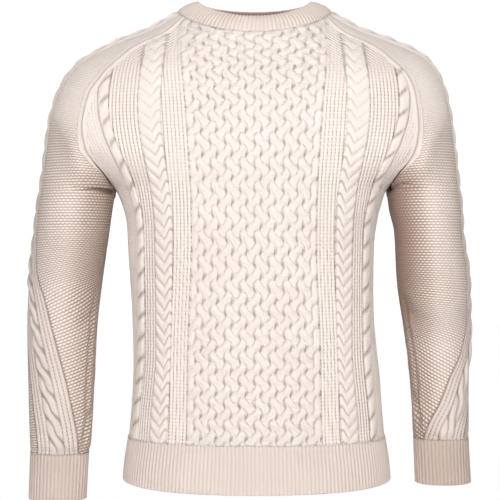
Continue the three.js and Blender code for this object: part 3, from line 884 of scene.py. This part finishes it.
def stitch_group():
    """Knit, purl and moss stitches, with the yarn's fuzz, and painted shade in the hollows and gaps."""
    name = "Knit Stitches"
    if name in bpy.data.node_groups:
        return bpy.data.node_groups[name]
    tree = bpy.data.node_groups.new(name, "ShaderNodeTree")
    for way, kind, labels in (
        ("INPUT", "Vector", ("Stitches", "Place", "Weave")),
        ("INPUT", "Float", ("Hollow", "Purl", "Moss", "Strand", "Lines", "Hollow Strength", "Stitch Strength")),
        ("INPUT", "Color", ("Yarn", "Shade")),
        ("OUTPUT", "Color", ("Color",)),
        ("OUTPUT", "Float", ("Height",)),
    ):
        for label in labels:
            tree.interface.new_socket(label, in_out=way, socket_type=f"NodeSocket{kind}")
    desk = NodeDesk(tree)
    given = desk.add("NodeGroupInput")
    made = desk.add("NodeGroupOutput")
    parts = desk.add("ShaderNodeSeparateXYZ")
    desk.link(given.outputs["Stitches"], parts.inputs[0])
    across = parts.outputs[0]
    along = parts.outputs[1]
    half = desk.math("ABSOLUTE", desk.math("SUBTRACT", desk.math("FRACT", across), 0.5))
    leg_offset = desk.math("SUBTRACT", desk.math("MULTIPLY", half, 4), 1)
    leg = desk.math("SUBTRACT", 1, desk.math("MULTIPLY", leg_offset, leg_offset))
    slant = desk.math("SUBTRACT", along, desk.math("MULTIPLY", half, 0.9))
    turn = 2 * math.pi
    wave = desk.math("MULTIPLY_ADD", desk.math("COSINE", desk.math("MULTIPLY", slant, turn)), 0.35, 0.65)
    knit = desk.math("MULTIPLY", leg, wave)
    dots_along = desk.math("COSINE", desk.math("MULTIPLY", along, turn * 0.5))
    purl = desk.math("MULTIPLY_ADD", dots_along, 0.45, 0.25)
    moss_across = desk.math("COSINE", desk.math("MULTIPLY", across, math.pi))
    moss_along = desk.math("COSINE", desk.math("MULTIPLY", along, math.pi))
    lines = desk.math("COSINE", desk.math("MULTIPLY", along, turn))
    lines = desk.math("MULTIPLY_ADD", lines, 0.3, 0.5)
    moss = desk.math("MULTIPLY_ADD", desk.math("MULTIPLY", moss_across, moss_along), 0.25, lines)
    stitches = desk.mix(given.outputs["Purl"], knit, purl, "FLOAT")
    stitches = desk.mix(given.outputs["Moss"], stitches, moss, "FLOAT")
    rough = desk.math("MAXIMUM", given.outputs["Purl"], given.outputs["Moss"])
    fuzz = desk.add("ShaderNodeTexNoise")
    desk.link(given.outputs["Place"], fuzz.inputs["Vector"])
    fuzz.inputs["Scale"].default_value = 900
    fuzz.inputs["Detail"].default_value = 3
    # painted shade in the gaps between the cables' strands and beside the lattice's upper strands; it also
    # sinks the bump
    gap = desk.math("COSINE", desk.math("MULTIPLY", given.outputs["Strand"], turn))
    gap = desk.math("POWER", desk.math("MULTIPLY_ADD", gap, 0.5, 0.5), 6)
    gap = desk.math("MULTIPLY", gap, given.outputs["Lines"])
    weave = desk.add("ShaderNodeSeparateXYZ")
    desk.link(given.outputs["Weave"], weave.inputs[0])
    for start, way in ((0, 1), (0.5, -1)):
        down = desk.wrap(desk.math("SUBTRACT", weave.outputs[1], start))
        beside = desk.wrap(desk.math("SUBTRACT", weave.outputs[0], start))
        beside = desk.math("MULTIPLY_ADD", beside, way, -MARK_PLACE)
        bow = desk.math("MULTIPLY", down, desk.math("MULTIPLY_ADD", down, MARK_BOW, MARK_LEAN))
        beside = desk.math("DIVIDE", desk.math("SUBTRACT", beside, bow), MARK_WIDE)
        tall = desk.math("DIVIDE", down, MARK_TALL)
        tall = desk.math("MULTIPLY", tall, tall)
        fall = desk.math("MULTIPLY_ADD", beside, beside, desk.math("MULTIPLY", tall, tall))
        mark = desk.math("EXPONENT", desk.math("MULTIPLY", fall, -1))
        mark = desk.math("MULTIPLY", mark, desk.math("MULTIPLY", weave.outputs[2], MARK_DARK))
        gap = desk.math("ADD", gap, mark)
    height = desk.math("MULTIPLY", stitches, desk.math("MULTIPLY_ADD", rough, 0.45, 0.55))
    height = desk.math("MULTIPLY_ADD", gap, -0.8, height)
    height = desk.math("MULTIPLY_ADD", fuzz.outputs["Fac"], 0.35, height)
    patches = desk.add("ShaderNodeTexNoise")
    desk.link(given.outputs["Place"], patches.inputs["Vector"])
    patches.inputs["Scale"].default_value = 14
    patches.inputs["Detail"].default_value = 2
    # painted shade: the stitches' gaps darken, more in purl and moss and where the cloth has more painted
    # shade, then the hollows and gaps add theirs; the uneven patches are the yarn's own tone
    low = desk.math("SUBTRACT", 1, stitches, clamp=True)
    low = desk.math("POWER", low, 1.6)
    low = desk.math("MULTIPLY", low, given.outputs["Stitch Strength"])
    low = desk.math("MULTIPLY", low, desk.math("MULTIPLY_ADD", rough, 0.7, 0.3))
    painted_shade = desk.math("MULTIPLY", desk.math("MINIMUM", given.outputs["Hollow"], 0.5), rough)
    low = desk.math("MULTIPLY", low, desk.math("MULTIPLY_ADD", painted_shade, 1.5, 0.7))
    deep = desk.math("ADD", given.outputs["Hollow"], gap)
    deep = desk.math("MULTIPLY", deep, given.outputs["Hollow Strength"])
    dark = desk.math("ADD", low, deep)
    uneven = desk.math("MULTIPLY_ADD", patches.outputs["Fac"], 0.16, -0.08)
    dark = desk.math("ADD", dark, uneven, clamp=True)
    colour = desk.mix(dark, given.outputs["Yarn"], given.outputs["Shade"])
    desk.link(colour, made.inputs["Color"])
    desk.link(height, made.inputs["Height"])
    return tree


def knit_material(name, yarn, shade, hollow, stitch, depth):
    """A wool knit: stitches as bump and colour on the cloth's own stitch coordinates, with painted shade in its
    hollows and gaps.
    """
    if name in bpy.data.materials:
        return bpy.data.materials[name]
    material = bpy.data.materials.new(name)
    material.use_nodes = True
    tree = material.node_tree
    tree.nodes.clear()
    desk = NodeDesk(tree)
    group = desk.add("ShaderNodeGroup", node_tree=stitch_group())
    uv = desk.add("ShaderNodeUVMap", uv_map="stitches")
    desk.link(uv.outputs["UV"], group.inputs["Stitches"])
    weave = desk.add("ShaderNodeAttribute", attribute_name="weave")
    desk.link(weave.outputs["Vector"], group.inputs["Weave"])
    place = desk.add("ShaderNodeTexCoord")
    desk.link(place.outputs["Object"], group.inputs["Place"])
    for label in ("hollow", "purl", "moss", "strand", "lines"):
        field = desk.add("ShaderNodeAttribute", attribute_name=label)
        desk.link(field.outputs["Fac"], group.inputs[label.capitalize()])
    group.inputs["Yarn"].default_value = (*yarn, 1)
    group.inputs["Shade"].default_value = (*shade, 1)
    group.inputs["Hollow Strength"].default_value = hollow
    group.inputs["Stitch Strength"].default_value = stitch
    bump = desk.add("ShaderNodeBump")
    bump.inputs["Strength"].default_value = 1
    bump.inputs["Distance"].default_value = depth
    desk.link(group.outputs["Height"], bump.inputs["Height"])
    shader = desk.add("ShaderNodeBsdfPrincipled")
    for label, value in WOOL_FINISH.items():
        shader.inputs[label].default_value = value
    desk.link(group.outputs["Color"], shader.inputs["Base Color"])
    desk.link(bump.outputs["Normal"], shader.inputs["Normal"])
    result = desk.add("ShaderNodeOutputMaterial")
    desk.link(shader.outputs["BSDF"], result.inputs["Surface"])
    return material


def cable_wool(yarn):
    return knit_material(
        "Cable Wool", yarn.yarn, yarn.shade, yarn.hollow_strength, yarn.stitch_strength, yarn.stitch_depth
    )


def rib_wool(yarn):
    return knit_material(
        "Rib Wool",
        yarn.rib_yarn,
        yarn.shade,
        yarn.hollow_strength,
        RIB_STITCH_STRENGTH * yarn.stitch_strength,
        RIB_STITCH_DEPTH * yarn.stitch_depth,
    )


def edge_gap(points):
    """How far each point lies from the sheet's upper and lower edges, along its column."""
    down = run_along(points, 0)
    return np.minimum(down, down[-1:] - down)


def rounded_edge(distance, half):
    """How much of the wall's half thickness is left near a rounded edge."""
    t = np.clip(1 - distance / half, 0, 1)
    return np.sqrt(1 - t * t)


def length(name, description, default):
    return FloatProperty(name=name, description=description, default=default, unit="LENGTH", precision=4)


def colour(name, description, default):
    return FloatVectorProperty(
        name=name, description=description, default=default, subtype="COLOR", size=3, min=0, max=1
    )


def strength(name, description, default):
    return FloatProperty(name=name, description=description, default=default, min=0, max=1)


def power(name, description, default):
    return FloatProperty(name=name, description=description, default=default, unit="POWER")


class SweaterSizes(bpy.types.PropertyGroup):
    """The knit's sizes"""

    wall: length("Cloth thickness", "Thickness of the cloth under its relief", 0.0035)
    lattice_height: length("Lattice height", "How far the lattice's strands stand out", 0.0033)
    rope_height: length("Rope height", "How far the rope cables stand out", 0.0052)
    chevron_height: length("Chevron height", "How far the chevrons' strands stand out", 0.0042)
    rib_height: length("Rib height", "How far the body's and the sleeves' ribs stand out", 0.0019)
    moss_height: length("Moss height", "How far the moss stitches stand out", 0.0016)
    band_rib_height: length("Band rib height", "How far the bands' ribs stand out", 0.0011)
    band_rib_pitch: length("Band rib pitch", "Distance between two of the bands' ribs", 0.0055)
    columns: IntProperty(
        name="Body columns", description="Columns of points across the front or back", default=460, min=60
    )
    rows: IntProperty(
        name="Body rows", description="Rows of points down the front or back", default=189, min=40
    )


class SweaterYarn(bpy.types.PropertyGroup):
    """The yarn's colours, and the colour and strength of its painted shade"""

    yarn: colour("Yarn", "Colour of the cables' yarn", (0.87, 0.79, 0.74))
    rib_yarn: colour("Rib yarn", "Colour of the ribs' yarn", (0.85, 0.77, 0.72))
    # the colour of the painted shade in the hollows and between strands and stitches
    shade: colour("Hollows", "Colour between the strands and stitches", (0.31, 0.21, 0.165))
    # how strong the painted shade in the relief's hollows is
    hollow_strength: strength("Hollow strength", "How much darker the relief's hollows are", 0.55)
    # how strong the painted shade in the stitches' gaps is
    stitch_strength: strength("Stitch strength", "How much darker the gaps of the stitches are", 0.85)
    stitch_depth: length("Stitch depth", "Depth of the stitches", 0.0012)


class SweaterStage(bpy.types.PropertyGroup):
    """The stage's lights"""

    key_power: power("Key light", "Power of each of the two lights in front", 19)
    top_power: power("Top light", "Power of the light above", 7)
    front_power: power("Front light", "Power of the light by the camera", 45)
    back_power: power("Back light", "Power of the light behind", 45)
    ambient: strength("Ambient", "Strength of the light from all round", 0.15)
    floor_level: length("Floor", "Height of the floor", -1.1)


def camera_sees(desk, around, seen):
    """Mixes two shaders: the camera sees the second, and the first lights and is lit."""
    path = desk.add("ShaderNodeLightPath")
    blend = desk.add("ShaderNodeMixShader")
    desk.link(path.outputs["Is Camera Ray"], blend.inputs[0])
    desk.link(around.outputs[0], blend.inputs[1])
    desk.link(seen.outputs[0], blend.inputs[2])
    return blend.outputs[0]


class SWEATER_OT_stage(bpy.types.Operator):
    """Makes the camera, the floor and the lights"""

    bl_idname = "sweater.stage"
    bl_label = "Stage"

    def execute(self, context):
        stage = context.scene.sweater_stage
        lens = bpy.data.cameras.new("view")
        lens.sensor_width = 36
        lens.lens = 94.35
        camera = bpy.data.objects.new("view", lens)
        camera.location = (-0.0066, -1.9, -0.341)
        camera.rotation_euler = (math.pi / 2, 0, 0)
        context.collection.objects.link(camera)
        context.scene.camera = camera

        bm = bmesh.new()
        bmesh.ops.create_circle(bm, cap_ends=True, segments=96, radius=12)
        mesh = bpy.data.meshes.new("floor")
        bm.to_mesh(mesh)
        bm.free()
        mesh.transform(Matrix.Translation((0, 0, stage.floor_level)))
        floor = bpy.data.objects.new("floor", mesh)
        context.collection.objects.link(floor)
        paint = bpy.data.materials.new("Pale Floor")
        paint.use_nodes = True
        paint.node_tree.nodes.clear()
        desk = NodeDesk(paint.node_tree)
        shader = desk.add("ShaderNodeBsdfPrincipled")
        shader.inputs["Base Color"].default_value = (0.8, 0.79, 0.78, 1)
        shader.inputs["Roughness"].default_value = 0.9
        white = desk.add("ShaderNodeEmission")
        white.inputs["Strength"].default_value = 1.0
        result = desk.add("ShaderNodeOutputMaterial")
        desk.link(camera_sees(desk, shader, white), result.inputs["Surface"])
        mesh.materials.append(paint)

        centre = Vector((0, 0, -0.34))
        for name, place, size, power in (
            ("key_right", (-1.35, -2.2, 0.35), 0.9, stage.key_power),
            ("key_left", (1.35, -2.2, 0.35), 0.9, stage.key_power),
            ("front", (0, -2.6, 0.3), 1.4, stage.front_power),
            ("top", (0, -0.9, 1.5), 1.4, stage.top_power),
            ("back", (0, 2.8, 0.5), 1.4, stage.back_power),
        ):
            light = bpy.data.lights.new(name, "AREA")
            light.size = size
            light.energy = power
            lamp = bpy.data.objects.new(name, light)
            lamp.location = place
            lamp.rotation_euler = (centre - Vector(place)).to_track_quat("-Z", "Y").to_euler()
            context.collection.objects.link(lamp)

        world = bpy.data.worlds.new("studio")
        context.scene.world = world
        world.use_nodes = True
        desk = NodeDesk(world.node_tree)
        world.node_tree.nodes.clear()
        seen = desk.add("ShaderNodeBackground")
        seen.inputs["Color"].default_value = (1, 1, 1, 1)
        seen.inputs["Strength"].default_value = 1.1
        around = desk.add("ShaderNodeBackground")
        around.inputs["Color"].default_value = (1, 0.985, 0.97, 1)
        around.inputs["Strength"].default_value = stage.ambient
        result = desk.add("ShaderNodeOutputWorld")
        desk.link(camera_sees(desk, around, seen), result.inputs["Surface"])
        context.scene.view_settings.view_transform = "Standard"
        return {"FINISHED"}


class SWEATER_OT_body(bpy.types.Operator):
    """Knits the front and the back, with lattice, chevrons, ropes and ribs"""

    bl_idname = "sweater.body"
    bl_label = "Front and Back"

    def execute(self, context):
        sizes = context.scene.sweater_sizes
        material = cable_wool(context.scene.sweater_yarn)
        tries = np.linspace(SEAM_SHARE, 1 - SEAM_SHARE, 2000)
        density = np.cumsum(1 - 0.2 * np.exp(-(((tries - 0.5) / 0.19) ** 4)))
        places = np.interp(np.linspace(density[0], density[-1], sizes.columns), density, tries)
        for name, front in (("front", True), ("back", False)):
            levels = even_levels(
                lambda tries: panel_rows(front, tries, [0.5])[:, 0], NECK_LEVEL, HEM_SEAM, sizes.rows
            )
            points = panel_rows(front, levels, places)
            normals = outward(points)
            cloth, side_gap = body_stitches(points, levels, sizes)
            cloth.height = blur(cloth.height, 0, 1) * 0.5 + cloth.height * 0.5
            relief = seam_relief(cloth, side_gap, edge_gap(points), SEAM_FADE, BODY_PLAIN)
            curved = np.flatnonzero((levels < ARMPIT_CURVE[0]) & (levels > ARMPIT_CURVE[1]))[::3]
            even = np.linspace(0, len(levels) - 1, 12).astype(int)
            inner_rows = np.unique(np.concatenate([even, curved]))
            outer = points + normals * relief[..., None]
            inner = (points - normals * (sizes.wall / MM + INSIDE_CLEAR))[inner_rows]
            piece = knit_shell(f"knit_{name}", outer, inner, cloth, inner_rows, False)
            declare(piece, name, material)
        return {"FINISHED"}


class SWEATER_OT_sleeves(bpy.types.Operator):
    """Knits the two sleeves, each with a rope, ribs beside it and moss stitch"""

    bl_idname = "sweater.sleeves"
    bl_label = "Sleeves"

    def execute(self, context):
        sizes = context.scene.sweater_sizes
        material = cable_wool(context.scene.sweater_yarn)
        places = np.linspace(SEAM_SHARE, 1 - SEAM_SHARE, SLEEVE_ACROSS)
        for name, sleeve in SLEEVES.items():
            levels = even_levels(
                lambda tries: sleeve_rows(sleeve, tries, [0.5])[:, 0],
                NECK_LEVEL,
                sleeve["cuff_seam"],
                SLEEVE_DOWN,
            )
            points = sleeve_rows(sleeve, levels, places)
            normals = outward(points)
            cloth, side_gap = sleeve_stitches(points, levels, sleeve, sizes)
            cloth.height = blur(cloth.height, 0, 1) * 0.5 + cloth.height * 0.5
            lines = [
                (np.array([sleeve_rows(sleeve, [level], [at])[0, 0] for level, at in path]), *shape)
                for path, *shape in SLEEVE_CREASES[name]
            ]
            folds, dark = crease_field(points, lines)
            # the creases from the armpits get painted shade
            cloth.shade += dark
            width = SEAM_FADE * (1 + smooth(*FOLD_LEVELS, levels)[:, None])
            relief = seam_relief(cloth, side_gap, edge_gap(points), width, SLEEVE_PLAIN) + folds
            creased = np.flatnonzero((levels < ARMPIT_CREASE[0]) & (levels > ARMPIT_CREASE[1]))[::2]
            even = np.linspace(0, len(levels) - 1, 16).astype(int)
            inner_rows = np.unique(np.concatenate([even, creased]))
            outer = points + normals * relief[..., None]
            inner = (points + normals * (folds[..., None] - sizes.wall / MM - INSIDE_CLEAR))[inner_rows]
            piece = knit_shell(f"knit_sleeve_{name}", outer, inner, cloth, inner_rows, False)
            declare(piece, f"sleeve_{name}", material)
        return {"FINISHED"}


def rib_shell(name, points, normals, wall, sizes, closed, round_top=False, shade=0.0):
    """A ribbed band between two seams or a seam and a rounded edge, with its ribs on both faces."""
    run = run_along(points, 1)
    down = run_along(points, 0)
    total = run[:, -1:]
    middle = float(total.mean())
    count = round(middle / (sizes.band_rib_pitch / MM))
    share = run / total * count
    wave = np.cos(2 * math.pi * share)
    raised = np.sign(wave) * np.abs(wave) ** 0.7
    cloth = Stitches(run.shape)
    cloth.height = raised
    # painted shade over the whole band, and less of the hollows' painted shade than elsewhere
    cloth.shade += shade
    cloth.deep *= BAND_DEEP
    cloth.purl = BAND_PURL * smooth(0.1, 0.7, -wave)
    cloth.across = share + 0.5
    cloth.along = down / STITCH_TALL
    half = wall / 2
    end_gap = down[-1:] - down if not round_top else down
    seam_gap = down if not round_top else down[-1:] - down
    kept = rounded_edge(end_gap, half)
    fade = smooth(0, 5, seam_gap)
    relief = sizes.band_rib_height / MM * 0.5 * raised * (0.35 + 0.65 * fade) - 0.2 * (1 - fade)
    if not closed:
        side_fade = smooth(0, 3, np.minimum(run, total - run))
        relief = relief * side_fade - 0.6 * (1 - side_fade)
    outer = points + normals * ((relief + half) * kept - half)[..., None]
    inner = points - normals * ((half + 0.3 * sizes.band_rib_height / MM * raised) * kept + half)[..., None]
    edge = np.arange(0, 5) if round_top else np.arange(len(points) - 5, len(points))
    inner_rows = np.unique(np.concatenate([np.linspace(0, len(points) - 1, 9).astype(int), edge]))
    return knit_shell(name, outer, inner[inner_rows], cloth, inner_rows, closed)


def band_levels(top, bottom, count, half):
    """Levels down a band, closer together at its rounded lower edge."""
    main = np.linspace(top, bottom + half, count)
    turn = np.linspace(0, math.pi / 2, 6)[1:]
    return np.concatenate([main, bottom + half - half * np.sin(turn)])


class SWEATER_OT_hem(bpy.types.Operator):
    """Knits the ribbed hem of the front and of the back"""

    bl_idname = "sweater.hem"
    bl_label = "Hem"

    def execute(self, context):
        sizes = context.scene.sweater_sizes
        material = rib_wool(context.scene.sweater_yarn)
        places = np.linspace(SEAM_SHARE, 1 - SEAM_SHARE, HEM_COLUMNS)
        wall = sizes.wall / MM
        for name, front in (("front", True), ("back", False)):
            levels = band_levels(HEM_SEAM - BAND_GAP, HEM_END, BAND_ROWS, wall / 2)
            points = panel_rows(front, levels, places)
            normals = outward(points)
            piece = rib_shell(f"rib_hem_{name}", points, normals, wall, sizes, False, shade=HEM_SHADE)
            declare(piece, f"hem_rib_{name}", material)
        return {"FINISHED"}


class SWEATER_OT_cuffs(bpy.types.Operator):
    """Knits the two ribbed cuffs"""

    bl_idname = "sweater.cuffs"
    bl_label = "Cuffs"

    def execute(self, context):
        sizes = context.scene.sweater_sizes
        material = rib_wool(context.scene.sweater_yarn)
        places = np.linspace(0, 1, CUFF_COLUMNS)
        wall = sizes.wall / MM
        for name, sleeve in SLEEVES.items():
            levels = band_levels(sleeve["cuff_seam"] - BAND_GAP, sleeve["cuff_end"], CUFF_ROWS, wall / 2)
            points = sleeve_rows(sleeve, levels, places)
            normals = outward(points)
            shade = CUFF_SHADE[name]
            piece = rib_shell(f"rib_cuff_{name}", points, normals, wall, sizes, True, shade=shade)
            declare(piece, f"cuff_{name}", material)
        return {"FINISHED"}


class SWEATER_OT_neckband(bpy.types.Operator):
    """Knits the doubled neckband on the neck seam"""

    bl_idname = "sweater.neckband"
    bl_label = "Neckband"

    def execute(self, context):
        sizes = context.scene.sweater_sizes
        material = rib_wool(context.scene.sweater_yarn)
        many = np.linspace(0, 1, 200)
        front = panel_rows(True, [NECK_LEVEL], many)[0]
        back = panel_rows(False, [NECK_LEVEL], many)[0][::-1]
        left = sleeve_rows(SLEEVES["left"], [NECK_LEVEL], many)[0][1:-1]
        right = sleeve_rows(SLEEVES["right"], [NECK_LEVEL], many)[0][::-1][1:-1]
        ring = np.concatenate([front, left, back, right, front[:1]])
        run = np.concatenate([[0], np.cumsum(length_of(np.diff(ring, axis=0)))])
        even = np.linspace(0, run[-1], NECKBAND_COLUMNS)
        seam = np.stack([np.interp(even, run, ring[:, k]) for k in range(3)], axis=-1)
        neck = BODY(NECK_LEVEL)
        depth = np.where(seam[:, 1] < 0, neck["front"], neck["back"])
        fold = ring_point(BAND_TOP, np.arctan2(seam[:, 0] / neck["width"], -seam[:, 1] / depth))
        flat = seam * (1, 1, 0)
        swell = flat / length_of(flat)[:, None] + (0, 0, 1)
        half = BAND_WALL / 2
        height = float(length_of(fold - seam).mean())
        turn = np.linspace(0, math.pi / 2, 6)[::-1]
        rounded = 1 - (half - half * np.sin(turn)) / height
        straight = np.linspace(1 - half / height, BAND_GAP / height, BAND_ROWS)
        share = np.concatenate([rounded, straight[1:]])
        t = share[:, None, None]
        points = seam + (fold - seam) * t + swell * (BAND_SWELL * 4 * t * (1 - t))
        normals = np.cross(np.gradient(points, axis=1), np.gradient(points, axis=0))
        normals = normals / length_of(normals)[..., None]
        away = points - points.mean(axis=1, keepdims=True)
        if np.sum(normals * away) < 0:
            normals = -normals
        piece = rib_shell(
            "rib_neckband", points, normals, BAND_WALL, sizes, True, round_top=True, shade=NECKBAND_SHADE
        )
        declare(piece, "neckband", material)
        return {"FINISHED"}


class SWEATER_PT_panel(bpy.types.Panel):
    """The sweater's sizes, colours and pieces"""

    bl_label = "Cable Knit Sweater"
    bl_idname = "SWEATER_PT_panel"
    bl_space_type = "VIEW_3D"
    bl_region_type = "UI"
    bl_category = "Sweater"

    def draw(self, context):
        scene = context.scene
        for group in (scene.sweater_sizes, scene.sweater_yarn, scene.sweater_stage):
            box = self.layout.box()
            for name in group.__annotations__:
                box.prop(group, name)
        for operator in OPERATORS:
            self.layout.operator(operator.bl_idname)


OPERATORS = (
    SWEATER_OT_stage,
    SWEATER_OT_body,
    SWEATER_OT_sleeves,
    SWEATER_OT_hem,
    SWEATER_OT_cuffs,
    SWEATER_OT_neckband,
)
CLASSES = (SweaterSizes, SweaterYarn, SweaterStage, *OPERATORS, SWEATER_PT_panel)


def register():
    for cls in CLASSES:
        bpy.utils.register_class(cls)
    bpy.types.Scene.sweater_sizes = PointerProperty(type=SweaterSizes)
    bpy.types.Scene.sweater_yarn = PointerProperty(type=SweaterYarn)
    bpy.types.Scene.sweater_stage = PointerProperty(type=SweaterStage)


def unregister():
    del bpy.types.Scene.sweater_stage
    del bpy.types.Scene.sweater_yarn
    del bpy.types.Scene.sweater_sizes
    for cls in reversed(CLASSES):
        bpy.utils.unregister_class(cls)


def main():
    register()
    bpy.ops.sweater.stage()
    bpy.ops.sweater.body()
    bpy.ops.sweater.sleeves()
    bpy.ops.sweater.hem()
    bpy.ops.sweater.cuffs()
    bpy.ops.sweater.neckband()
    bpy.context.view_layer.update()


if __name__ == "__main__":
    main()
